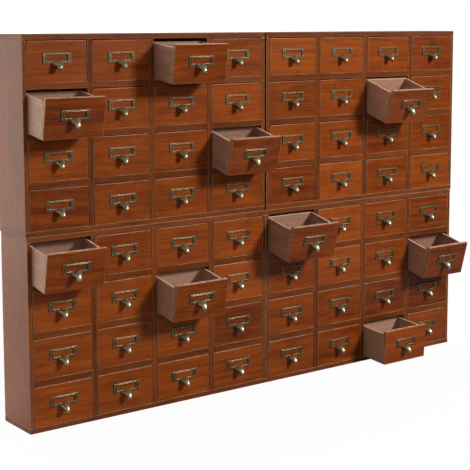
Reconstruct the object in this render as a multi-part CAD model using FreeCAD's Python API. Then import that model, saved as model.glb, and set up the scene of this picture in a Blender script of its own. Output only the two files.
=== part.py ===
import FreeCAD, Part
import os
from FreeCAD import Vector

# Spice drawer cabinet: four small chests stacked two by two, sixteen drawers in each.
# Units are mm. +X runs to the right, the drawers open towards -Y, +Z is up.
# The origin is the middle of the footprint, on the table.

# Chest
CHEST_W = 500.0       # width of one chest
CHEST_H = 334.0       # height of one chest
DEPTH = 95.0          # depth of every chest
SIDE_T = 7.0          # side panel
CAP_T = 9.0           # top and bottom panel
SHELF_T = 11.0        # shelf between two rows of drawers
UPRIGHT_T = 9.0       # upright between two columns of drawers
BACK_T = 3.0          # back panel, let in flush at the rear
DIVISIONS = 4         # drawers across and drawers up in one chest
LOWER_GAP = 0.4       # between the two lower chests
UPPER_GAP = 4.0       # between the two upper chests

INNER_W = CHEST_W - 2 * SIDE_T
INNER_H = CHEST_H - 2 * CAP_T
INNER_D = DEPTH - BACK_T
OPEN_W = (INNER_W - (DIVISIONS - 1) * UPRIGHT_T) / DIVISIONS
OPEN_H = (INNER_H - (DIVISIONS - 1) * SHELF_T) / DIVISIONS
FACE_Y = -DEPTH / 2   # plane of the chest's front edges

# Drawer
SIDE_GAP = 1.5        # between a drawer and the wood on its left and right
TOP_GAP = 1.7         # above the drawer's front
RUN_GAP = 0.3         # between the drawer and the shelf it runs on
REAR_GAP = 8.0        # between a shut drawer and the back panel
FRONT_T = 7.0         # drawer front
BOX_T = 5.0           # drawer side and drawer back
FLOOR_T = 3.0         # drawer floor
BOX_DROP = 6.75       # sides and back end this far below the front's top edge
FRONT_W = OPEN_W - 2 * SIDE_GAP
FRONT_H = OPEN_H - TOP_GAP - RUN_GAP
BOX_H = FRONT_H - BOX_DROP
LENGTH = DEPTH - BACK_T - REAR_GAP

# Brass label frame, pinned to the drawer front
LABEL_W = 52.0
LABEL_H = 17.5
LABEL_T = 2.4
LABEL_Z = 31.0        # lower edge above the drawer's underside
WINDOW_W = 40.0
WINDOW_H = 10.5
LOWER_BAR = 4.0       # bar below the window
PIN_R = 0.6           # shank
PIN_HEAD_R = 1.4
PIN_HEAD_T = 0.7
PIN_L = 6.0           # shank below the head
PIN_FIT = 0.02        # round the shank
PIN_X = (LABEL_W + WINDOW_W) / 4
PIN_Z = LABEL_Z + LOWER_BAR + WINDOW_H / 2

# Finger pull, brazed on the frame's lower bar
ROOT_W = 22.0         # flare at the bar
ROOT_T = 2.0
ROOT_TIP_W = 10.0     # flare at its lower end
ROOT_H = 8.0
ROOT_TOP = 3.0        # flare starts this far above the frame's lower edge
HORN_R = 5.0          # horn where it leaves the bar
HORN_DOWN = 0.6       # and its centre there, below the frame's lower edge
KNEE_R = 4.9
KNEE_OUT = 7.0        # knee's centre in front of the drawer front
KNEE_DOWN = 2.2       # knee's centre below the frame's lower edge
NECK_R = 4.7
BALL_R = 4.8
BALL_OUT = 11.5       # ball's centre in front of the drawer front
BALL_DOWN = 7.1       # ball's centre below the frame's lower edge

# Rub wire in the shelf's front edge, which an open drawer tips over
WIRE_R = 1.0
WIRE_FIT = 0.05       # between the wire and its notch
WIRE_END_GAP = 1.0    # at each end of the notch
WIRE_IN = WIRE_R + WIRE_FIT

# Open drawers: (row from the top, column from the left): (drawn out, droop in degrees)
OPEN = {
    (1, 3): (57.0, 7.3),
    (2, 1): (52.0, 9.1),
    (2, 7): (56.5, 18.5),
    (3, 4): (46.8, 14.5),
    (5, 1): (43.5, 11.1),
    (5, 5): (60.0, 12.4),
    (6, 3): (50.5, 11.0),
    (6, 8): (44.6, 14.5),
    (8, 7): (60.0, 4.7),
}
FIRST_PAIR = (2, 5)   # reading on from here, two shut drawers side by side share a node


def box(x, y, z, w, d, h):
    return Part.makeBox(w, d, h, Vector(x, y, z))


def chests():
    """Left end and bottom of each chest, as (row of chests from the top, column, x, z)."""
    for up, gap in ((0, UPPER_GAP), (1, LOWER_GAP)):
        z = CHEST_H if up == 0 else 0.0
        yield up, 0, -gap / 2 - CHEST_W, z
        yield up, 1, gap / 2, z


def opening(row, col):
    """Left side and floor of one drawer's opening."""
    for up, across, x, z in chests():
        i, j = col - 1 - across * DIVISIONS, row - 1 - up * DIVISIONS
        if 0 <= i < DIVISIONS and 0 <= j < DIVISIONS:
            left = x + SIDE_T + i * (OPEN_W + UPRIGHT_T)
            floor = z + CAP_T + (DIVISIONS - 1 - j) * (OPEN_H + SHELF_T)
            return left, floor


def open_in(x, z):
    """The open drawers' notches that lie in one shelf or bottom panel whose top is at z."""
    found = []
    for row, col in OPEN:
        left, floor = opening(row, col)
        if abs(floor - z) < 0.01 and x <= left < x + INNER_W:
            found.append(box(left, FACE_Y, z - 2 * WIRE_IN, OPEN_W, 2 * WIRE_IN, 2 * WIRE_IN))
    return found


def cut_all(shape, tools):
    for tool in tools:
        shape = shape.cut(tool)
    return shape


# Panels of the chests
sides, tops, bottoms, backs, shelves, uprights = [], [], [], [], [], []
for up, across, x, z in chests():
    for sx in (x, x + CHEST_W - SIDE_T):
        sides.append(box(sx, FACE_Y, z + CAP_T, SIDE_T, DEPTH, INNER_H))
    ix, iz = x + SIDE_T, z + CAP_T
    bottoms.append(cut_all(box(x, FACE_Y, z, CHEST_W, DEPTH, CAP_T), open_in(ix, iz)))
    tops.append(box(x, FACE_Y, z + CHEST_H - CAP_T, CHEST_W, DEPTH, CAP_T))
    backs.append(box(ix, FACE_Y + INNER_D, iz, INNER_W, BACK_T, INNER_H))
    # halving joints: the shelves are slotted from the front, the uprights from the rear
    cross_x = [ix + OPEN_W + k * (OPEN_W + UPRIGHT_T) for k in range(DIVISIONS - 1)]
    cross_z = [iz + OPEN_H + k * (OPEN_H + SHELF_T) for k in range(DIVISIONS - 1)]
    for cz in cross_z:
        board = box(ix, FACE_Y, cz, INNER_W, INNER_D, SHELF_T)
        slots = [box(cx, FACE_Y, cz, UPRIGHT_T, INNER_D / 2, SHELF_T) for cx in cross_x]
        shelves.append(cut_all(board, slots + open_in(ix, cz + SHELF_T)))
    for cx in cross_x:
        board = box(cx, FACE_Y, iz, UPRIGHT_T, INNER_D, INNER_H)
        slots = [
            box(cx, FACE_Y + INNER_D / 2, cz, UPRIGHT_T, INNER_D / 2, SHELF_T) for cz in cross_z
        ]
        uprights.append(cut_all(board, slots))


def label_frame():
    frame = box(-LABEL_W / 2, -LABEL_T, LABEL_Z, LABEL_W, LABEL_T, LABEL_H)
    window = box(
        -WINDOW_W / 2, -2 * LABEL_T, LABEL_Z + LOWER_BAR, WINDOW_W, 3 * LABEL_T, WINDOW_H
    )
    return cut_all(frame, [window] + pin_holes())


def pin_holes():
    depth = PIN_L + PIN_HEAD_T
    return [
        Part.makeCylinder(
            PIN_R + PIN_FIT, depth, Vector(x, -LABEL_T - PIN_HEAD_T, PIN_Z), Vector(0, 1, 0)
        )
        for x in (-PIN_X, PIN_X)
    ]


def pin(x):
    """A round-headed pin: the head lies on the frame, the shank goes into the drawer front."""
    along = Vector(0, 1, 0)
    head = Part.makeCylinder(
        PIN_HEAD_R, PIN_HEAD_T, Vector(x, -LABEL_T - PIN_HEAD_T, PIN_Z), along
    )
    return head.fuse(Part.makeCylinder(PIN_R, PIN_L, Vector(x, -LABEL_T, PIN_Z), along))


def finger_pull():
    """A horn that leaves the lower bar, bends down and ends in a ball."""
    top = LABEL_Z + ROOT_TOP
    corners = [
        Vector(-ROOT_W / 2, -LABEL_T, top),
        Vector(ROOT_W / 2, -LABEL_T, top),
        Vector(ROOT_TIP_W / 2, -LABEL_T, top - ROOT_H),
        Vector(-ROOT_TIP_W / 2, -LABEL_T, top - ROOT_H),
    ]
    outline = Part.makePolygon(corners + corners[:1])
    flare = Part.Face(outline).extrude(Vector(0, -ROOT_T, 0))
    root = Vector(0, -LABEL_T, LABEL_Z - HORN_DOWN)
    knee = Vector(0, -KNEE_OUT, LABEL_Z - KNEE_DOWN)
    ball = Vector(0, -BALL_OUT, LABEL_Z - BALL_DOWN)
    reach, drop = knee.sub(root), ball.sub(knee)
    horn = Part.makeCone(HORN_R, KNEE_R, reach.Length, root, reach)
    neck = Part.makeCone(KNEE_R, NECK_R, drop.Length, knee, drop)
    body = flare.multiFuse(
        [horn, Part.makeSphere(KNEE_R, knee), neck, Part.makeSphere(BALL_R, ball)]
    )
    behind = box(-LABEL_W / 2, -LABEL_T, 0, LABEL_W, FRONT_T, FRONT_H)
    return body.cut(behind).removeSplitter()


def drawer_solids():
    """One drawer, its front face at y 0, its underside at z 0 and its middle at x 0."""
    inner_w = FRONT_W - 2 * BOX_T
    floor_d = LENGTH - BOX_T - FRONT_T
    return [
        cut_all(box(-FRONT_W / 2, 0, 0, FRONT_W, FRONT_T, FRONT_H), pin_holes()),
        box(-FRONT_W / 2, FRONT_T, 0, BOX_T, LENGTH - FRONT_T, BOX_H),
        box(FRONT_W / 2 - BOX_T, FRONT_T, 0, BOX_T, LENGTH - FRONT_T, BOX_H),
        box(-inner_w / 2, LENGTH - BOX_T, 0, inner_w, BOX_T, BOX_H),
        box(-inner_w / 2, FRONT_T, 0, inner_w, floor_d, FLOOR_T),
        label_frame(),
        finger_pull(),
        pin(-PIN_X),
        pin(PIN_X),
    ]


DRAWER = Part.makeCompound(drawer_solids())


def drawer(row, col):
    """The drawer in its opening. An open one is drawn out, then tipped about the rub wire."""
    left, floor = opening(row, col)
    out, droop = OPEN.get((row, col), (0.0, 0.0))
    placed = DRAWER.copy()
    placed.translate(Vector(left + OPEN_W / 2, FACE_Y - out, floor + RUN_GAP))
    if droop:
        placed.rotate(wire_centre(left, floor), Vector(1, 0, 0), droop)
    return placed


def wire_centre(left, floor):
    return Vector(left + OPEN_W / 2, FACE_Y + WIRE_IN, floor - WIRE_IN)


def rub_wire(row, col):
    left, floor = opening(row, col)
    start = wire_centre(left, floor)
    start.x = left + WIRE_END_GAP
    return Part.makeCylinder(WIRE_R, OPEN_W - 2 * WIRE_END_GAP, start, Vector(1, 0, 0))


def solids_of(shapes):
    return [solid for shape in shapes for solid in shape.Solids]


nodes = {
    "side_panels": sides,
    "top_panels": tops,
    "bottom_panels": bottoms,
    "back_panels": backs,
    "shelves": shelves,
    "uprights": uprights,
}
for row, col in OPEN:
    nodes["rub_wire_r%dc%d" % (row, col)] = [rub_wire(row, col)]
    nodes["drawer_r%dc%d" % (row, col)] = [drawer(row, col)]
for row in range(1, 2 * DIVISIONS + 1):
    for col in range(1, 2 * DIVISIONS + 1, 2):
        shut = [c for c in (col, col + 1) if (row, c) not in OPEN]
        if len(shut) == 2 and (row, col) >= FIRST_PAIR:
            name = "drawers_r%dc%dc%d" % (row, col, col + 1)
            nodes[name] = [drawer(row, c) for c in shut]
        else:
            for c in shut:
                nodes["drawer_r%dc%d" % (row, c)] = [drawer(row, c)]

os.makedirs("parts", exist_ok=True)
for name, shapes in nodes.items():
    Part.makeCompound(solids_of(shapes)).exportStep("parts/%s.step" % name)
print(len(nodes), "nodes")
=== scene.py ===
import math
import re

import bpy
import numpy as np
from mathutils import Matrix, Vector


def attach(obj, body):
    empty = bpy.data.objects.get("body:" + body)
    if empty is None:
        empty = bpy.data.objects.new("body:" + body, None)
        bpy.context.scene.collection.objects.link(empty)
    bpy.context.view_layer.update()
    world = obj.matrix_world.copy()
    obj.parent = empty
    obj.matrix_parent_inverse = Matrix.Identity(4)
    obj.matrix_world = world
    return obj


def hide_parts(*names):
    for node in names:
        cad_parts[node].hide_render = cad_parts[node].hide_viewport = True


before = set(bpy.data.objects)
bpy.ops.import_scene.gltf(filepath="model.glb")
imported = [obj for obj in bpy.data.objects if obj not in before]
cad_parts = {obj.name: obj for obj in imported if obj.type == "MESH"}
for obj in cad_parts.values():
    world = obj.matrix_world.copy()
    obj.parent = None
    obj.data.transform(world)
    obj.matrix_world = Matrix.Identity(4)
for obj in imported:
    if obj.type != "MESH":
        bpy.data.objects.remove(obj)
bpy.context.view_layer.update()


# Camera. It stands to the left of the cabinet, a little above its top, and looks
# along the long row of fronts. The lens is long, so the rows stay nearly parallel.
LEFTWARD, DOWNWARD, LEAN = math.radians(36.80), math.radians(6.56), math.radians(-0.10)
CAMERA_AT = (-1.4177, -1.8467, 0.6846)

lens = bpy.data.cameras.new("camera")
lens.sensor_width, lens.lens, lens.shift_y = 36.0, 93.97, -0.15
lens.clip_start, lens.clip_end = 0.05, 50.0
camera = bpy.data.objects.new("camera", lens)
bpy.context.scene.collection.objects.link(camera)
bpy.context.scene.camera = camera
looking = Vector((
    math.sin(LEFTWARD) * math.cos(DOWNWARD),
    math.cos(LEFTWARD) * math.cos(DOWNWARD),
    -math.sin(DOWNWARD),
))
camera.matrix_world = (
    Matrix.Translation(CAMERA_AT)
    @ looking.to_track_quat("-Z", "Y").to_matrix().to_4x4()
    @ Matrix.Rotation(LEAN, 4, "Z")
)


# Side panels, 7 mm boards that stand between the top and the bottom of each chest.
# The grain runs upwards; their front edges are rounded over and worn by handling. Small
# nails through them hold the shelves. The wood is painted paler towards the rear: painted
# sheen that stands in for the bright surround behind the cabinet.
CHEST_W, CHEST_H, DEPTH = 500.0, 334.0, 95.0
SIDE_T, CAP_T, SHELF_T, UPRIGHT_T, BACK_T = 7.0, 9.0, 11.0, 9.0, 3.0
DIVISIONS, LOWER_GAP, UPPER_GAP = 4, 0.4, 4.0
INNER_W, INNER_H, INNER_D = CHEST_W - 2 * SIDE_T, CHEST_H - 2 * CAP_T, DEPTH - BACK_T
OPEN_W = (INNER_W - (DIVISIONS - 1) * UPRIGHT_T) / DIVISIONS
OPEN_H = (INNER_H - (DIVISIONS - 1) * SHELF_T) / DIVISIONS
FACE_Y = -DEPTH / 2
# Painted sheen: the side panels are painted paler than other boards, and paler still towards the
# rear.
SIDE_SHEEN_TONE, SIDE_SHEEN_FADE = 0.9, 1.1     # paler than other boards, and the rear still more so
FLAT = 0.9995       # a face is shaded flat if one axis has this share of its normal
SHRINK = 0.9        # corner radius that a board's ring loses for each mm it is drawn in
WOOD_SHIFT, TONE_SPREAD = 4.0, 0.35
chance = np.random.default_rng(11)


def chests():
    """Name, row of chests, column, left end and bottom of each chest, in mm."""
    for up, gap in ((0, UPPER_GAP), (1, LOWER_GAP)):
        z = CHEST_H if up == 0 else 0.0
        yield ("upper", "lower")[up] + "_left", up, 0, -gap / 2 - CHEST_W, z
        yield ("upper", "lower")[up] + "_right", up, 1, gap / 2, z


def skin(rings, closed=False):
    """Faces over rings of points: point p of ring r meets p + 1 and ring r + 1, and an open
    row of rings gets a flat face at each end. The sum of the triple products of all
    triangles is six times the volume, so its sign says whether the faces look outwards."""
    count, around = rings.shape[:2]
    points = rings.reshape(-1, 3)
    index = np.arange(count * around).reshape(count, around)
    near = index if closed else index[:-1]
    far = np.roll(index, -1, 0) if closed else index[1:]
    quads = np.stack([near, np.roll(near, -1, 1), np.roll(far, -1, 1), far], -1).reshape(-1, 4)
    ends = index[:0] if closed else np.stack([index[0, ::-1], index[-1]])
    fans = [ends[:, [0, k, k + 1]] for k in range(1, around - 1)]
    a, b, c = points[np.concatenate([quads[:, :3], quads[:, [0, 2, 3]]] + fans)].transpose(1, 0, 2)
    if np.einsum("ij,ij->", a, np.cross(b, c)) < 0:
        quads, ends = quads[:, ::-1], ends[:, ::-1]
    a, b, c, d = points[np.concatenate([quads, ends[:, :4]])].transpose(1, 0, 2)
    across = np.cross(c - a, d - b)
    flat = np.abs(across).max(1) > FLAT * np.linalg.norm(across, axis=1)
    return {
        "points": points,
        "corners": np.concatenate([quads.ravel(), ends.ravel()]),
        "sizes": np.concatenate([np.full(len(quads), 4), np.full(len(ends), around)]),
        "flat": flat,
    }


def corner_arcs(half_a, half_b, radius, steps):
    """Rounded rectangle: four quarter circles, one at each corner, joined by straight sides.
    Gives its points, the outward direction at each, and how near each is to an arc's middle."""
    turn = np.linspace(0, np.pi / 2, steps + 1)
    angle = (np.arange(4)[:, None] * np.pi / 2 + turn).ravel()
    outward = np.stack([np.cos(angle), np.sin(angle)], -1)
    way = np.repeat([[1, 1], [-1, 1], [-1, -1], [1, -1]], steps + 1, axis=0)
    points = way * [half_a - radius, half_b - radius] + radius * outward
    return points, outward, np.tile(np.sin(2 * turn), 4)


def board(low, high, grain=0, ease=0.8, steps=3):
    """A board with eased edges: a rounded rectangle carried along the grain, drawn in near
    each end by a quarter circle of the same radius."""
    order = [grain, (grain + 1) % 3, (grain + 2) % 3]
    low, high = np.array(low, float)[order], np.array(high, float)[order]
    turn = np.linspace(0, np.pi / 2, steps + 1)
    along = ease * (1 - np.cos(turn))
    drawn = ease * (1 - np.sin(turn))
    at = np.concatenate([low[0] + along, high[0] - along[::-1]])
    drawn = np.concatenate([drawn, drawn[::-1]])
    worn = np.tile(np.sin(2 * turn), 2)
    middle, half = (low + high) / 2, (high - low) / 2
    rings, edges = [], []
    for x, inset, end_wear in zip(at, drawn, worn):
        radius = ease - SHRINK * inset
        outline, _, wear = corner_arcs(half[1] - inset, half[2] - inset, radius, steps)
        rings.append(np.column_stack([np.full(len(outline), x), outline + middle[1:]]))
        edges.append(np.maximum(wear, end_wear))
    part = skin(np.array(rings))
    part["edge"] = np.concatenate(edges)
    return laid(part, order)


def laid(part, order):
    """Gives a part drawn with its length first its grain coordinates, and turns it to the
    cabinet's axes. A far shift of the coordinates makes every board its own piece of wood."""
    drawn = part["points"]
    part["grain"] = drawn / 1000 + chance.uniform(-WOOD_SHIFT, WOOD_SHIFT, 3)
    part["tone"] = np.full(len(drawn), chance.normal(0, TONE_SPREAD))
    points = np.empty_like(drawn)
    points[:, order] = drawn
    part["points"] = points
    return part


def make_piece(name, parts, finishes, body, nodes):
    """Joins parts into one mesh in metres. Each part brings its points, its faces, the values
    at its points and which of the finishes its faces have; the first, where it doesn't say.
    The piece rides on a body and stands for its CAD nodes."""
    mesh = bpy.data.meshes.new(name)
    starts = np.cumsum([0] + [len(part["points"]) for part in parts])
    points = np.concatenate([part["points"] for part in parts]) / 1000
    corners = np.concatenate([part["corners"] + start for part, start in zip(parts, starts)])
    sizes = np.concatenate([part["sizes"] for part in parts])
    mesh.vertices.add(len(points))
    mesh.vertices.foreach_set("co", points.astype(np.float32).ravel())
    mesh.loops.add(len(corners))
    mesh.loops.foreach_set("vertex_index", corners.astype(np.int32))
    mesh.polygons.add(len(sizes))
    firsts = np.concatenate([[0], np.cumsum(sizes)[:-1]])
    mesh.polygons.foreach_set("loop_start", firsts.astype(np.int32))
    mesh.polygons.foreach_set("use_smooth", ~np.concatenate([part["flat"] for part in parts]))
    finish = np.concatenate([np.full(len(part["sizes"]), part.get("finish", 0)) for part in parts])
    mesh.polygons.foreach_set("material_index", finish.astype(np.int32))
    for value, kind, width in (
        ("grain", "FLOAT_VECTOR", 3), ("edge", "FLOAT", 1), ("tone", "FLOAT", 1)
    ):
        if all(value in part for part in parts):
            held = np.concatenate([part[value].reshape(-1, width) for part in parts])
            mesh.attributes.new(value, kind, "POINT").data.foreach_set(
                "vector" if width == 3 else "value", held.astype(np.float32).ravel()
            )
    mesh.update()
    mesh.validate()
    for material in finishes:
        mesh.materials.append(material)
    piece = bpy.data.objects.new(name, mesh)
    bpy.context.scene.collection.objects.link(piece)
    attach(piece, body)
    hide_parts(*nodes)
    return piece


def group(name, inputs, outputs):
    """An empty shader node group, whose sockets are given as {name: kind}."""
    tree = bpy.data.node_groups.new(name, "ShaderNodeTree")
    for way, sockets in (("INPUT", inputs), ("OUTPUT", outputs)):
        for socket, kind in sockets.items():
            tree.interface.new_socket(socket, in_out=way, socket_type="NodeSocket" + kind)
    return tree, tree.nodes.new("NodeGroupInput"), tree.nodes.new("NodeGroupOutput")


def node(tree, kind, settings=(), **inputs):
    """A node with its settings, and its inputs given as values or as sockets to link from.
    An input's name has _ for a blank; at0, at1 and so on stand for the first, the second."""
    made = tree.nodes.new("ShaderNode" + kind)
    for key, value in dict(settings).items():
        setattr(made, key, value)
    for key, value in inputs.items():
        if key.startswith("at"):
            socket = made.inputs[int(key[2:])]
        else:
            socket = made.inputs[key.replace("_", " ")]
        if isinstance(value, bpy.types.NodeSocket):
            tree.links.new(value, socket)
        else:
            socket.default_value = value
    return made


def calc(tree, operation, *values):
    """One step of arithmetic on values or sockets."""
    inputs = {"at%d" % i: value for i, value in enumerate(values)}
    return node(tree, "Math", {"operation": operation}, **inputs).outputs[0]


def between(tree, amount, first, second, blend="MIX"):
    """Blends two colours: the amount says how much of the second is in the result."""
    settings = {"data_type": "RGBA", "blend_type": blend}
    return node(tree, "Mix", settings, at0=amount, at6=first, at7=second).outputs[2]


def spread(tree, value, low, high, to_low=0.0, to_high=1.0):
    """Stretches the part of a value between low and high to a new range, and holds it there."""
    made = node(
        tree, "MapRange", {},
        Value=value, From_Min=low, From_Max=high, To_Min=to_low, To_Max=to_high,
    )
    return made.outputs[0]


# Stained wood, as every board shows it: bands of growth along the grain, fine dark pores,
# a blotchy stain, and lighter wood along the edges: partly where the lacquer is rubbed off,
# partly a painted highlight that the eased edges would catch.
GRAIN_DEPTH, COAT_ROUGHNESS = 0.00006, 0.22     # the first in metres
wood_figure, given, gives = group(
    "wood_figure",
    {
        "Grain": "Vector", "Edge": "Float", "Tone": "Float", "Pores": "Float", "Gloss": "Float",
        "Pale": "Color", "Deep": "Color", "Rubbed": "Color",
    },
    {"Color": "Color", "Roughness": "Float", "Height": "Float"},
)
tree, wood = wood_figure, given.outputs
drift = node(tree, "TexNoise", {}, Vector=wood["Grain"], Scale=5.0, Detail=2.0)
swayed = node(
    tree, "VectorMath", {"operation": "MULTIPLY_ADD"},
    at0=drift.outputs["Color"], at1=(0.0, 0.02, 0.02), at2=wood["Grain"],
)
long_way = node(
    tree, "VectorMath", {"operation": "MULTIPLY"}, at0=swayed.outputs[0], at1=(0.07, 1.0, 1.0)
)
bands = node(
    tree, "TexNoise", {}, Vector=long_way.outputs[0],
    Scale=85.0, Detail=4.0, Roughness=0.55, Distortion=0.3,
)
threads = node(
    tree, "TexNoise", {}, Vector=long_way.outputs[0], Scale=520.0, Detail=3.0, Roughness=0.6
)
growth = node(
    tree, "TexWave", {"wave_type": "RINGS", "rings_direction": "X", "wave_profile": "SAW"},
    Vector=long_way.outputs[0], Scale=42.0, Distortion=3.5, Detail=2.0, Detail_Scale=1.2,
)
blotch = node(tree, "TexNoise", {}, Vector=wood["Grain"], Scale=22.0, Detail=3.0, Roughness=0.5)
tall = node(
    tree, "VectorMath", {"operation": "MULTIPLY"}, at0=wood["Grain"], at1=(0.045, 1.0, 1.0)
)
pore = node(tree, "TexNoise", {}, Vector=tall.outputs[0], Scale=1500.0, Detail=1.0)
pores = spread(tree, pore.outputs["Fac"], 0.60, 0.70)
fibres = spread(tree, threads.outputs["Fac"], 0.3, 0.7)
depth = calc(
    tree, "ADD",
    calc(tree, "MULTIPLY", spread(tree, bands.outputs["Fac"], 0.3, 0.7), 0.45),
    calc(
        tree, "ADD",
        calc(tree, "MULTIPLY", growth.outputs["Fac"], 0.18),
        calc(
            tree, "ADD",
            calc(tree, "MULTIPLY", fibres, 0.2),
            calc(tree, "MULTIPLY", spread(tree, blotch.outputs["Fac"], 0.3, 0.7), 0.22),
        ),
    ),
)
toned = calc(tree, "MULTIPLY_ADD", wood["Tone"], 0.32, depth)
stained = between(tree, spread(tree, toned, 0.0, 1.0), wood["Deep"], wood["Pale"])
pored = between(
    tree, calc(tree, "MULTIPLY", pores, wood["Pores"]), stained, (0.35, 0.25, 0.2, 1), "MULTIPLY"
)
patchy = node(tree, "TexNoise", {}, Vector=wood["Grain"], Scale=140.0, Detail=3.0)
# Lighter edges: partly wear, partly a painted highlight along every eased edge.
wear_and_highlight = spread(tree, patchy.outputs["Fac"], 0.35, 0.62, 0.45, 1.0)
rub = calc(tree, "MULTIPLY", wood["Edge"], wear_and_highlight)
tree.links.new(between(tree, rub, pored, wood["Rubbed"]), gives.inputs["Color"])
rough = calc(
    tree, "ADD", wood["Gloss"],
    calc(
        tree, "ADD",
        calc(tree, "MULTIPLY", fibres, 0.04),
        calc(tree, "MULTIPLY", pores, 0.06),
    ),
)
tree.links.new(rough, gives.inputs["Roughness"])
relief = calc(
    tree, "SUBTRACT",
    calc(tree, "MULTIPLY", threads.outputs["Fac"], 0.5),
    calc(tree, "MULTIPLY", pores, 0.8),
)
tree.links.new(relief, gives.inputs["Height"])


def wood_finish(name, pale, deep, rubbed, pores, gloss, coat, shine=0.5):
    """A stained and lacquered wood in which every board reads its own grain coordinates."""
    material = bpy.data.materials.new(name)
    material.use_nodes = True
    tree = material.node_tree
    surface = tree.nodes["Principled BSDF"]
    grain, edge, tone = [
        node(tree, "Attribute", {"attribute_name": value}) for value in ("grain", "edge", "tone")
    ]
    figure = node(
        tree, "Group", {"node_tree": wood_figure},
        Grain=grain.outputs["Vector"], Edge=edge.outputs["Fac"], Tone=tone.outputs["Fac"],
        Pale=(*pale, 1), Deep=(*deep, 1), Rubbed=(*rubbed, 1), Pores=pores, Gloss=gloss,
    )
    bump = node(
        tree, "Bump", {}, Height=figure.outputs["Height"], Strength=1.0, Distance=GRAIN_DEPTH
    )
    tree.links.new(figure.outputs["Color"], surface.inputs["Base Color"])
    tree.links.new(figure.outputs["Roughness"], surface.inputs["Roughness"])
    tree.links.new(bump.outputs["Normal"], surface.inputs["Normal"])
    surface.inputs["Specular IOR Level"].default_value = shine
    surface.inputs["Coat Weight"].default_value = coat
    surface.inputs["Coat Roughness"].default_value = COAT_ROUGHNESS
    return material


case_wood = wood_finish(
    "case_wood", pale=(0.24, 0.058, 0.010), deep=(0.070, 0.013, 0.002), rubbed=(0.62, 0.30, 0.12),
    pores=0.45, gloss=0.25, coat=0.08, shine=0.3,
)
NAIL_R, NAIL_TOP_R, NAIL_IN, NAIL_OUT = 1.2, 0.7, 0.4, 0.08
NAIL_FRONT, NAIL_REAR = 8.0, 10.0       # from the front and the rear edge of the panel


def nail_head(x, way, y, z):
    """Head of a nail in a side panel: circles that shrink as they come out of the wood."""
    turn = np.linspace(0, 2 * np.pi, 8, endpoint=False)
    radius = np.array([NAIL_R, NAIL_R, NAIL_TOP_R])[:, None]
    out = np.array([-NAIL_IN, 0.02, NAIL_OUT])[:, None]
    rings = np.stack([
        np.broadcast_to(x + way * out, (3, 8)),
        y + radius * np.cos(turn),
        z + radius * np.sin(turn),
    ], -1)
    part = skin(rings)
    nothing = np.zeros(len(part["points"]))
    return part | {"grain": part["points"] / 1000, "edge": nothing, "tone": nothing, "finish": 1}


iron = bpy.data.materials.new("dark_iron")
iron.use_nodes = True
for key, value in (("Base Color", (0.03, 0.024, 0.02, 1)), ("Metallic", 0.8), ("Roughness", 0.55)):
    iron.node_tree.nodes["Principled BSDF"].inputs[key].default_value = value

for name, up, across, x, z in chests():
    parts = []
    for sx, outer, way in ((x, x, -1), (x + CHEST_W - SIDE_T, x + CHEST_W, 1)):
        part = board(
            (sx, FACE_Y, z + CAP_T), (sx + SIDE_T, FACE_Y + DEPTH, z + CAP_T + INNER_H),
            grain=2, ease=1.1,
        )
        # painted sheen: paler overall, and paler towards the rear
        part["tone"] += SIDE_SHEEN_TONE + SIDE_SHEEN_FADE * part["points"][:, 1] / DEPTH
        parts.append(part)
        for k in range(DIVISIONS - 1):
            middle = z + CAP_T + OPEN_H + SHELF_T / 2 + k * (OPEN_H + SHELF_T)
            for y in (FACE_Y + NAIL_FRONT, FACE_Y + DEPTH - NAIL_REAR):
                parts.append(nail_head(outer, way, y, middle))
    piece = "side_panels_" + name
    make_piece(piece, parts, [case_wood, iron], "chests", ["side_panels"])


# Top and bottom panels, 9 mm boards nailed over the ends of the side panels. Their lacquer
# has gone dull, except on the end grain, which was finished with the side panels. Under the
# hanging drawer of the lowest row, the front edge is notched for the rub wire.
WIRE_R, WIRE_FIT, WIRE_END_GAP = 1.0, 0.05, 1.0
WIRE_IN = WIRE_R + WIRE_FIT
EDGE = 0.8      # rounding of the front edges
SLANT = 0.05    # the walls of a slot or notch lean by this much
NOTCH_EASE = 0.2
OPEN = {
    (1, 3): (57.0, 7.3), (2, 1): (52.0, 9.1), (2, 7): (56.5, 18.5), (3, 4): (46.8, 14.5),
    (5, 1): (43.5, 11.1), (5, 5): (60.0, 12.4), (6, 3): (50.5, 11.0), (6, 8): (44.6, 14.5),
    (8, 7): (60.0, 4.7),
}   # (row, column): (drawn out, droop in degrees)


def opening(row, col):
    """Left side and floor of one drawer's opening."""
    for name, up, across, x, z in chests():
        i, j = col - 1 - across * DIVISIONS, row - 1 - up * DIVISIONS
        if 0 <= i < DIVISIONS and 0 <= j < DIVISIONS:
            left = x + SIDE_T + i * (OPEN_W + UPRIGHT_T)
            return left, z + CAP_T + (DIVISIONS - 1 - j) * (OPEN_H + SHELF_T)


def strip_section(front, back, low, high, notched):
    """Section of a board, seen along it: a rectangle with rounded front corners, the upper
    of which may be a square notch. The last number is the wear at each point."""
    turn = np.linspace(0, np.pi / 2, 4)
    less, more = EDGE * (1 - np.sin(turn)), EDGE * (1 - np.cos(turn))
    wear = np.sin(2 * turn)
    under = list(zip(front + less, low + more, wear))
    over = list(zip(front + more, high - less, wear))
    if notched:
        deep = 2 * WIRE_IN
        over = [
            (front, high - deep - NOTCH_EASE, 0.0), (front + NOTCH_EASE, high - deep, 1.0),
            (front + deep, high - deep, 0.0), (front + deep, high, 0.5),
        ]
    return [(back, high, 0.0), (back, low, 0.0)] + under + over


def strip(sections, order):
    """A board: its sections, each with its place along it, joined in order."""
    rings = [[(along, a, b) for a, b, _ in section] for along, section in sections]
    part = skin(np.array(rings))
    part["edge"] = np.array([wear for _, section in sections for _, _, wear in section])
    return laid(part, order)


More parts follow.
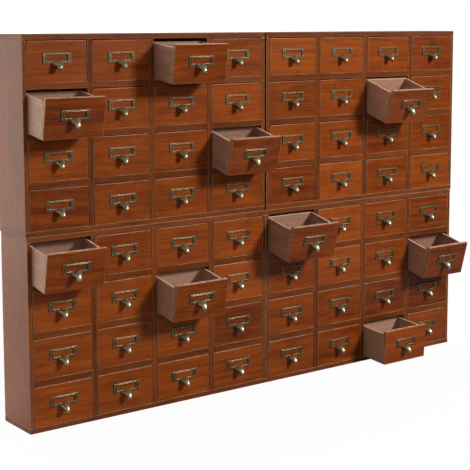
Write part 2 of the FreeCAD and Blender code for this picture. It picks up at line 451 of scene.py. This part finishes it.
cap_wood = wood_finish(
    "cap_wood", pale=(0.26, 0.062, 0.010), deep=(0.08, 0.015, 0.002), rubbed=(0.66, 0.34, 0.15),
    pores=0.45, gloss=0.6, coat=0.0, shine=0.2,
)
for name, up, across, x, z in chests():
    for word, low in (("top", z + CHEST_H - CAP_T), ("bottom", z)):
        floors = [opening(*cell) for cell in OPEN]
        lowest = [left for left, floor in floors if floor == z + CAP_T and x < left < x + CHEST_W]
        if word == "bottom" and lowest:
            left, = lowest
            plain = strip_section(FACE_Y, FACE_Y + DEPTH, low, low + CAP_T, False)
            notched = strip_section(FACE_Y, FACE_Y + DEPTH, low, low + CAP_T, True)
            part = strip([
                (x, plain), (left, plain), (left + SLANT, notched),
                (left + OPEN_W - SLANT, notched), (left + OPEN_W, plain), (x + CHEST_W, plain),
            ], [0, 1, 2])
        else:
            part = board((x, FACE_Y, low), (x + CHEST_W, FACE_Y + DEPTH, low + CAP_T), ease=0.7)
        faces = len(part["sizes"])
        part["finish"] = np.arange(faces) >= faces - 2     # the two ends come last
        piece = "%s_panel_%s" % (word, name)
        make_piece(piece, [part], [cap_wood, case_wood], "chests", [word + "_panels"])


# Back panels, 3 mm boards let in flush between the sides. They have the same stain in one
# thin coat with no lacquer over it, so they are paler and matt.
back_wood = wood_finish(
    "back_wood", pale=(0.36, 0.16, 0.075), deep=(0.15, 0.055, 0.022), rubbed=(0.45, 0.25, 0.13),
    pores=0.6, gloss=0.62, coat=0.0,
)
for name, up, across, x, z in chests():
    parts = [board(
        (x + SIDE_T, FACE_Y + INNER_D, z + CAP_T),
        (x + CHEST_W - SIDE_T, FACE_Y + DEPTH, z + CAP_T + INNER_H), ease=0.3, steps=2,
    )]
    make_piece("back_panel_" + name, parts, [back_wood], "chests", ["back_panels"])


# Shelves, 11 mm boards slotted from the front over the uprights. Under every drawer that
# hangs open their front edge has the same notch for a rub wire.
rail_wood = wood_finish(
    "rail_wood", pale=(0.235, 0.053, 0.007), deep=(0.075, 0.013, 0.0015),
    rubbed=(0.66, 0.32, 0.13), pores=0.45, gloss=0.3, coat=0.03, shine=0.2,
)
for name, up, across, x, z in chests():
    parts = []
    for k in range(DIVISIONS - 1):
        low = z + CAP_T + OPEN_H + k * (OPEN_H + SHELF_T)
        row = up * DIVISIONS + DIVISIONS - 1 - k
        sections = []
        for i in range(DIVISIONS):
            left = x + SIDE_T + i * (OPEN_W + UPRIGHT_T)
            notched = (row, across * DIVISIONS + i + 1) in OPEN
            whole = strip_section(FACE_Y, FACE_Y + INNER_D, low, low + SHELF_T, notched)
            sections += [(left, whole), (left + OPEN_W, whole)]
            if i < DIVISIONS - 1:
                slotted = strip_section(
                    FACE_Y + INNER_D / 2, FACE_Y + INNER_D, low, low + SHELF_T, False
                )
                sections += [
                    (left + OPEN_W + SLANT, slotted),
                    (left + OPEN_W + UPRIGHT_T - SLANT, slotted),
                ]
        parts.append(strip(sections, [0, 1, 2]))
    make_piece("shelves_" + name, parts, [rail_wood], "chests", ["shelves"])


# Uprights, 9 mm boards slotted from the rear. They run through on the front, and the
# shelves meet them there in tight halving joints.
for name, up, across, x, z in chests():
    parts = []
    for k in range(DIVISIONS - 1):
        left = x + SIDE_T + OPEN_W + k * (OPEN_W + UPRIGHT_T)
        sections = []
        for j in range(DIVISIONS):
            foot = z + CAP_T + j * (OPEN_H + SHELF_T)
            # seen along Z the section lies in Y and X; X is drawn mirrored and turned back
            whole = strip_section(FACE_Y, FACE_Y + INNER_D, -left - UPRIGHT_T, -left, False)
            slotted = strip_section(FACE_Y, FACE_Y + INNER_D / 2, -left - UPRIGHT_T, -left, False)
            sections += [(foot, whole), (foot + OPEN_H, whole)]
            if j < DIVISIONS - 1:
                sections += [
                    (foot + OPEN_H + SLANT, slotted),
                    (foot + OPEN_H + SHELF_T - SLANT, slotted),
                ]
        part = strip(sections, [2, 1, 0])
        part["points"][:, 0] *= -1
        parts.append(part)
    make_piece("uprights_" + name, parts, [rail_wood], "chests", ["uprights"])


# Aged brass, used for the label frames, pulls, pins and wires: a dark olive film in the
# hollows, yellower and smoother metal where fingers polish it, and fine pits all over.
PIT_DEPTH = 0.00002     # in metres


def brass_finish(name, dark, bright, smooth):
    """Brass that is as clean as the polish at its points and some noise add up to. The
    cleaner it is, the brighter its colour and the lower its roughness."""
    material = bpy.data.materials.new(name)
    material.use_nodes = True
    tree = material.node_tree
    surface = tree.nodes["Principled BSDF"]
    place = node(tree, "TexCoord")
    film = node(
        tree, "TexNoise", {}, Vector=place.outputs["Object"],
        Scale=420.0, Detail=4.0, Roughness=0.6,
    )
    specks = node(tree, "TexNoise", {}, Vector=place.outputs["Object"], Scale=2600.0, Detail=2.0)
    polish = node(tree, "Attribute", {"attribute_name": "edge"})
    clean = calc(
        tree, "ADD",
        calc(tree, "MULTIPLY", polish.outputs["Fac"], 0.75),
        spread(tree, film.outputs["Fac"], 0.35, 0.7, -0.1, 0.28),
    )
    colour = between(tree, spread(tree, clean, 0.0, 1.0), (*dark, 1), (*bright, 1))
    tree.links.new(colour, surface.inputs["Base Color"])
    rough = calc(
        tree, "ADD",
        spread(tree, clean, 0.0, 1.0, smooth + 0.22, smooth),
        spread(tree, specks.outputs["Fac"], 0.3, 0.7, -0.03, 0.05),
    )
    tree.links.new(rough, surface.inputs["Roughness"])
    bump = node(tree, "Bump", {}, Height=specks.outputs["Fac"], Strength=1.0, Distance=PIT_DEPTH)
    tree.links.new(bump.outputs["Normal"], surface.inputs["Normal"])
    surface.inputs["Metallic"].default_value = 0.9
    return material


brass = brass_finish(
    "aged_brass", dark=(0.050, 0.036, 0.018), bright=(0.68, 0.57, 0.36), smooth=0.25
)


# Rub wires, 2 mm brass wire laid in the notch of a shelf or bottom panel. An open drawer
# runs over its wire and tips on it.
WIRE_EASE = 0.2
for row, col in OPEN:
    left, floor = opening(row, col)
    length = OPEN_W - 2 * WIRE_END_GAP
    turn = np.linspace(0, 2 * np.pi, 12, endpoint=False)
    at = np.array([0.0, WIRE_EASE, length / 3, 2 * length / 3, length - WIRE_EASE, length])
    radius = np.array([WIRE_R - WIRE_EASE] + 4 * [WIRE_R] + [WIRE_R - WIRE_EASE])
    rings = np.stack([
        np.broadcast_to(left + WIRE_END_GAP + at[:, None], (6, 12)),
        FACE_Y + WIRE_IN + radius[:, None] * np.cos(turn),
        floor - WIRE_IN + radius[:, None] * np.sin(turn),
    ], -1)
    part = skin(rings)
    part["edge"] = np.tile(0.5 + 0.5 * np.sin(turn), 6)
    wire = "wire_r%dc%d" % (row, col)
    make_piece(wire, [part], [brass], wire, ["rub_" + wire])


# Drawer fronts, 7 mm boards with the grain across and eased edges, stained and lacquered.
# No two are of quite the same colour: two are pale and a few are dark, and those that
# hang open are painted darker, as painted shade.
SIDE_GAP, TOP_GAP, RUN_GAP, REAR_GAP = 1.5, 1.7, 0.3, 8.0
FRONT_T, BOX_T, FLOOR_T, BOX_DROP = 7.0, 5.0, 3.0, 6.75
FRONT_W, FRONT_H = OPEN_W - 2 * SIDE_GAP, OPEN_H - TOP_GAP - RUN_GAP
BOX_H, LENGTH = FRONT_H - BOX_DROP, DEPTH - BACK_T - REAR_GAP
# Tones of the fronts: the wood's own colour, except for the fronts that hang open, whose darker
# tones are painted shade.
FRONT_TONES_AND_SHADE = {
    (1, 3): -0.9, (1, 5): 0.9, (1, 6): 0.5, (1, 8): -0.9, (2, 1): -1.1, (2, 7): -0.4,
    (3, 4): -0.9, (4, 1): -0.9, (4, 5): -0.9, (4, 6): -0.5, (5, 1): -0.6, (5, 5): -0.6,
    (5, 8): -0.8, (6, 3): -0.9, (6, 8): -0.7, (7, 4): -1.1, (7, 8): -1.2, (8, 4): -0.5,
}   # (row, column): paler above 0, darker below
# Front edges, tops and ends are painted paler: partly wear, partly painted highlight and sheen
# where they catch the lamp and the bright surround.
FACE_WEAR_AND_HIGHLIGHT, TOP_WEAR_AND_SHEEN, END_WEAR_AND_SHEEN = 0.45, 0.95, 0.5
HAIR = 0.05     # points this near to the end of a board belong to it


def place(part, row, col):
    """Sets a part of a drawer, drawn about the middle of its front, into its opening. One
    that hangs open is drawn out, then turned about its rub wire by the droop."""
    left, floor = opening(row, col)
    out, droop = OPEN.get((row, col), (0.0, 0.0))
    pivot = np.array([left + OPEN_W / 2, FACE_Y + WIRE_IN, floor - WIRE_IN])
    arm = part["points"] + [left + OPEN_W / 2, FACE_Y - out, floor + RUN_GAP] - pivot
    c, s = math.cos(math.radians(droop)), math.sin(math.radians(droop))
    x, y, z = arm.T
    turned = np.stack([x, c * y - s * z, s * y + c * z], -1)
    return part | {"points": turned + pivot}


drawer_bodies = {}
for name in sorted(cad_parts):
    if name.startswith("drawer"):
        row = int(re.search(r"_r(\d)", name).group(1))
        drawer_bodies[name] = [(row, int(col)) for col in re.findall(r"c(\d)", name)]

front_wood = wood_finish(
    "front_wood", pale=(0.38, 0.082, 0.008), deep=(0.11, 0.017, 0.0015), rubbed=(0.80, 0.48, 0.30),
    pores=0.5, gloss=0.26, coat=0.03, shine=0.2,
)
for name, cells in drawer_bodies.items():
    parts = []
    for cell in cells:
        front = board((-FRONT_W / 2, 0, 0), (FRONT_W / 2, FRONT_T, FRONT_H), ease=1.0)
        front["tone"] += FRONT_TONES_AND_SHADE.get(cell, 0.0)
        # painted sheen and wear: the top and the ends of the front are painted paler
        top = front["points"][:, 2] > FRONT_H - HAIR
        ends = np.abs(front["points"][:, 0]) > FRONT_W / 2 - HAIR
        bare_and_sheen = np.maximum(TOP_WEAR_AND_SHEEN * top, END_WEAR_AND_SHEEN * ends)
        front["edge"] = np.maximum(FACE_WEAR_AND_HIGHLIGHT * front["edge"], bare_and_sheen)
        parts.append(place(front, *cell))
    piece = "front_" + name.partition("_")[2]
    make_piece(piece, parts, [front_wood], name, [name])


# Drawer boxes: two 5 mm sides, a back and a 3 mm floor, glued and pinned behind the front.
# They have one thin wash of stain, paler and more pink than the front, and no lacquer.
box_wood = wood_finish(
    "box_wood", pale=(0.51, 0.280, 0.192), deep=(0.25, 0.115, 0.074), rubbed=(0.85, 0.58, 0.45),
    pores=0.6, gloss=0.45, coat=0.1,
)
# Painted light: the boxes of these drawers are painted paler, standing in for the light they
# catch.
BOX_LIGHT_TONES = {(2, 7): 1.4, (6, 3): 1.5, (6, 8): 0.3, (8, 7): 1.5}
# Box rims are painted paler: partly wear, partly painted sheen on the upward-facing top edges.
RIM_WEAR_AND_SHEEN = 0.9
for name, cells in drawer_bodies.items():
    parts = []
    for cell in cells:
        outer, inner = FRONT_W / 2, FRONT_W / 2 - BOX_T
        boards = [
            board((-outer, FRONT_T, 0), (-inner, LENGTH, BOX_H), grain=1, ease=0.5, steps=2),
            board((inner, FRONT_T, 0), (outer, LENGTH, BOX_H), grain=1, ease=0.5, steps=2),
            board((-inner, LENGTH - BOX_T, 0), (inner, LENGTH, BOX_H), ease=0.5, steps=2),
            board((-inner, FRONT_T, 0), (inner, LENGTH - BOX_T, FLOOR_T), ease=0.3, steps=1),
        ]
        for part in boards:
            part["tone"] += BOX_LIGHT_TONES.get(cell, 0.0)
            # painted sheen and wear on the top edges
            rim = part["points"][:, 2] > BOX_H - HAIR
            part["edge"] = np.maximum(part["edge"], RIM_WEAR_AND_SHEEN * rim)
            parts.append(place(part, *cell))
    piece = "box_" + name.partition("_")[2]
    make_piece(piece, parts, [box_wood], name, [name])


# Label frame, stamped from brass sheet: a flat rim 52 by 17.5 mm, with a lip raised round the
# window for the card and a flange at each end for the pin.
LABEL_W, LABEL_H, LABEL_T, LABEL_Z = 52.0, 17.5, 2.4, 31.0
WINDOW_W, WINDOW_H, LOWER_BAR = 40.0, 10.5, 4.0
RIM_T = 1.9     # thickness of the rim beside the lip
RIM_CORNER, WINDOW_CORNER = 1.0, 0.7


def label_frame():
    """Rings from the rim's back, over its rounded edge, the flat and the lip, into the
    window and back behind the lip; each ring is the rim's or the window's outline."""
    rim, rim_out, _ = corner_arcs(LABEL_W / 2, LABEL_H / 2, RIM_CORNER, 3)
    window, window_out, _ = corner_arcs(WINDOW_W / 2, WINDOW_H / 2, WINDOW_CORNER, 3)
    rim_z, window_z = LABEL_Z + LABEL_H / 2, LABEL_Z + LOWER_BAR + WINDOW_H / 2
    rings, wear = [], []
    for outer, offset, out, rubbed in (     # offset outwards in the plane, out to the front
        (True, 0.0, 0.0, 0.0), (True, 0.0, RIM_T - 0.5, 0.3), (True, -0.15, RIM_T - 0.15, 0.7),
        (True, -0.5, RIM_T, 0.2), (False, 1.5, RIM_T, 0.0), (False, 1.2, LABEL_T - 0.1, 0.2),
        (False, 1.0, LABEL_T, 0.3), (False, 0.5, LABEL_T, 0.3), (False, 0.15, LABEL_T - 0.2, 0.5),
        (False, 0.0, LABEL_T - 0.7, 0.3), (False, 0.0, 0.0, 0.0),
    ):
        outline = rim + offset * rim_out if outer else window + offset * window_out
        high = rim_z if outer else window_z
        forward = np.full(len(outline), -out)
        rings.append(np.column_stack([outline[:, 0], forward, outline[:, 1] + high]))
        wear.append(np.full(len(outline), rubbed))
    part = skin(np.array(rings), closed=True)
    part["edge"] = np.concatenate(wear)
    return part


# Finger pull, cast brass, brazed to the lower bar of the frame: a fishtail root that draws
# together into a horn, bends down and ends in a ball.
ROOT_CUT, ROOT_OUT, KNEE_OUT = 1.5, 1.6, 8.5
BALL_R, BALL_OUT, BALL_DOWN = 4.8, 11.5, 7.1


def finger_pull():
    """Ovals carried along a bent line in the plane of Y and Z, from wide and flat at the
    root to round at the neck; then circles of a sphere, in which the ball ends."""
    root = np.array([ROOT_OUT, LABEL_Z - 0.2])
    knee = np.array([KNEE_OUT, LABEL_Z - 0.6])
    ball = np.array([BALL_OUT, LABEL_Z - BALL_DOWN])
    t = np.array([0.0, 0.08, 0.18, 0.3, 0.42, 0.55, 0.68, 0.82, 0.93])
    wide = np.array([10.4, 9.9, 9.3, 8.6, 7.8, 7.0, 6.2, 5.5, 5.0])
    deep = np.array([4.2, 4.3, 4.5, 4.6, 4.7, 4.8, 4.8, 4.8, 4.8])
    rubbed = np.array([0.2, 0.5, 0.7, 0.8, 0.85, 0.9, 0.9, 0.9, 0.9])
    u = t[:, None]
    line = (1 - u) ** 2 * root + 2 * u * (1 - u) * knee + u ** 2 * ball
    along = 2 * (1 - u) * (knee - root) + 2 * u * (ball - knee)
    along /= np.linalg.norm(along, axis=1, keepdims=True)
    straight = (ball - line[-1]) / np.linalg.norm(ball - line[-1])
    turn = np.linspace(0, 2 * np.pi, 20, endpoint=False)
    bend = np.radians([88, 104, 120, 136, 152, 168])
    centres = np.concatenate([line, ball - BALL_R * np.cos(bend)[:, None] * straight])
    ahead = np.concatenate([along, np.tile(straight, (len(bend), 1))])
    wide = np.concatenate([wide, BALL_R * np.sin(bend)])
    deep = np.concatenate([deep, BALL_R * np.sin(bend)])
    up = np.stack([-ahead[:, 1], ahead[:, 0]], -1)
    full = np.concatenate([np.linspace(0.7, 1.0, len(t)), np.ones(len(bend))])[:, None]
    rise = deep[:, None] * np.sign(np.sin(turn)) * np.abs(np.sin(turn)) ** full
    rings = np.stack([
        wide[:, None] * np.sign(np.cos(turn)) * np.abs(np.cos(turn)) ** full,
        -(centres[:, :1] + rise * up[:, :1]),
        centres[:, 1:] + rise * up[:, 1:],
    ], -1)
    rings[0, :, 1] = -ROOT_CUT
    part = skin(rings)
    rubbed = np.concatenate([rubbed, 0.7 + 0.3 * np.sin(bend)])
    # Painted highlight: the upper right side, which faces the lamp, is painted brighter, on top of
    # the polish from fingers.
    polish_and_highlight = 0.7 + 0.3 * np.sin(turn + 0.6)      # fingers polish the upper side most
    part["edge"] = (rubbed[:, None] * polish_and_highlight).ravel()
    part["flat"][:] = False
    return part


# Pins, round-headed brass, one through each flange of the frame into the front. Nobody
# touches them, so their film is darker than the frame's.
PIN_HEAD_R, PIN_HEAD_T, PIN_SUNK, PIN_FOOT, PIN_POLISH = 1.4, 0.9, 0.1, 0.2, -0.6
PIN_X, PIN_Z = (LABEL_W + WINDOW_W) / 4, LABEL_Z + LOWER_BAR + WINDOW_H / 2


def pin(x):
    """Circles that shrink along a quarter of an ellipse, from the rim to the crown."""
    turn = np.linspace(0, 2 * np.pi, 12, endpoint=False)
    rise = np.radians([0, 0, 25, 50, 75])
    radius = PIN_HEAD_R * np.cos(rise)
    out = RIM_T - PIN_SUNK + (PIN_HEAD_T + PIN_SUNK) * np.sin(rise)
    out[0] = PIN_FOOT
    rings = np.stack([
        x + radius[:, None] * np.cos(turn),
        np.broadcast_to(-out[:, None], (5, 12)),
        PIN_Z + radius[:, None] * np.sin(turn),
    ], -1)
    part = skin(rings)
    part["edge"] = np.full(len(part["points"]), PIN_POLISH)
    part["flat"][:-2] = False
    return part


fittings = [label_frame(), finger_pull(), pin(-PIN_X), pin(PIN_X)]
for name, cells in drawer_bodies.items():
    parts = [place(part, *cell) for cell in cells for part in fittings]
    piece = "brass_" + name.partition("_")[2]
    make_piece(piece, parts, [brass], name, [name])


# Stage: a pale round of floor that fades into a white surround, one soft lamp high on the
# right, a weak one on the left, and a surround that is bright behind and dim in front.
FLOOR_R, FLOOR_Z, FLOOR_SIDES = 1.7, -0.0004, 96    # in metres
FLOOR_WHITE, FADE_FROM, FADE_TO = 0.96, 0.75, 1.6
REARWARD = (-0.35, 0.93)
MIRROR = 0.12   # how much of the white ground brass and lacquer mirror from the front
WARM, WHITE, GREY = (1.0, 0.94, 0.88, 1), (1, 1, 1, 1), (0.25, 0.25, 0.25, 1)
AIM, LAMP_SIZE = Vector((0.0, -0.05, 0.33)), 0.6


def rays(tree):
    """What the camera sees directly, and what brass and lacquer mirror, held down to a share."""
    ray = node(tree, "LightPath")
    mirrored = calc(
        tree, "MAXIMUM", ray.outputs["Is Glossy Ray"], ray.outputs["Is Transmission Ray"]
    )
    return ray.outputs["Is Camera Ray"], calc(tree, "MULTIPLY", mirrored, MIRROR)


turn = np.linspace(0, 2 * np.pi, FLOOR_SIDES, endpoint=False)
round_edge = [(FLOOR_R * math.cos(a), FLOOR_R * math.sin(a), FLOOR_Z) for a in turn]
disc = bpy.data.meshes.new("floor")
disc.from_pydata(round_edge, [], [list(range(FLOOR_SIDES))])
floor_piece = bpy.data.objects.new("floor", disc)
bpy.context.scene.collection.objects.link(floor_piece)
floor_paint = bpy.data.materials.new("floor_paint")
floor_paint.use_nodes = True
tree = floor_paint.node_tree
tree.nodes.clear()
spot = node(tree, "TexCoord")
reach = node(tree, "VectorMath", {"operation": "LENGTH"}, at0=spot.outputs["Object"])
far = spread(tree, reach.outputs["Value"], FADE_FROM, FADE_TO, FLOOR_WHITE, 1.0)
direct, mirrored = rays(tree)
rearward = node(
    tree, "VectorMath", {"operation": "DOT_PRODUCT"},
    at0=spot.outputs["Object"], at1=(*REARWARD, 0.0),
)
lit = spread(tree, rearward.outputs["Value"], 0.0, 0.3, 0.0, 1.0)
indirect = calc(tree, "MAXIMUM", mirrored, lit)
seen = calc(
    tree, "ADD", calc(tree, "MULTIPLY", direct, far),
    calc(tree, "MULTIPLY", calc(tree, "SUBTRACT", 1.0, direct), indirect),
)
plain = node(tree, "BsdfDiffuse", {}, Color=between(tree, direct, GREY, WHITE))
white = node(tree, "Emission", {}, Color=between(tree, direct, WARM, WHITE), Strength=1.0)
mixed = node(tree, "MixShader", {}, at0=seen, at1=plain.outputs[0], at2=white.outputs[0])
node(tree, "OutputMaterial", {}, Surface=mixed.outputs[0])
disc.materials.append(floor_paint)

world = bpy.data.worlds.new("surround")
bpy.context.scene.world = world
world.use_nodes = True
tree = world.node_tree
tree.nodes.clear()
way = node(tree, "TexCoord")
facing = node(
    tree, "VectorMath", {"operation": "DOT_PRODUCT"},
    at0=way.outputs["Generated"], at1=(*REARWARD, 0.1),
)
glow = spread(tree, facing.outputs["Value"], 0.0, 0.7, 0.04, 1.6)
direct, mirrored = rays(tree)
strength = calc(tree, "MAXIMUM", calc(tree, "MAXIMUM", glow, mirrored), direct)
tint = between(tree, direct, WARM, WHITE)
back = node(tree, "Background", {}, Color=tint, Strength=strength)
node(tree, "OutputWorld", {}, Surface=back.outputs[0])


def lamp(name, spot, power, colour):
    """A square soft lamp at spot, turned towards the cabinet, in metres and watts."""
    light = bpy.data.lights.new(name, "AREA")
    light.size, light.energy, light.color = LAMP_SIZE, power, colour
    held = bpy.data.objects.new(name, light)
    bpy.context.scene.collection.objects.link(held)
    spot = Vector(spot)
    turned = (AIM - spot).to_track_quat("-Z", "Y").to_matrix().to_4x4()
    held.matrix_world = Matrix.Translation(spot) @ turned


lamp("key_lamp", (1.38, -2.30, 1.72), 78.0, (1.0, 0.97, 0.92))
lamp("fill_lamp", (-1.4, -2.3, 1.0), 8.5, (1.0, 0.98, 0.97))

bpy.context.scene.view_settings.view_transform = "Standard"
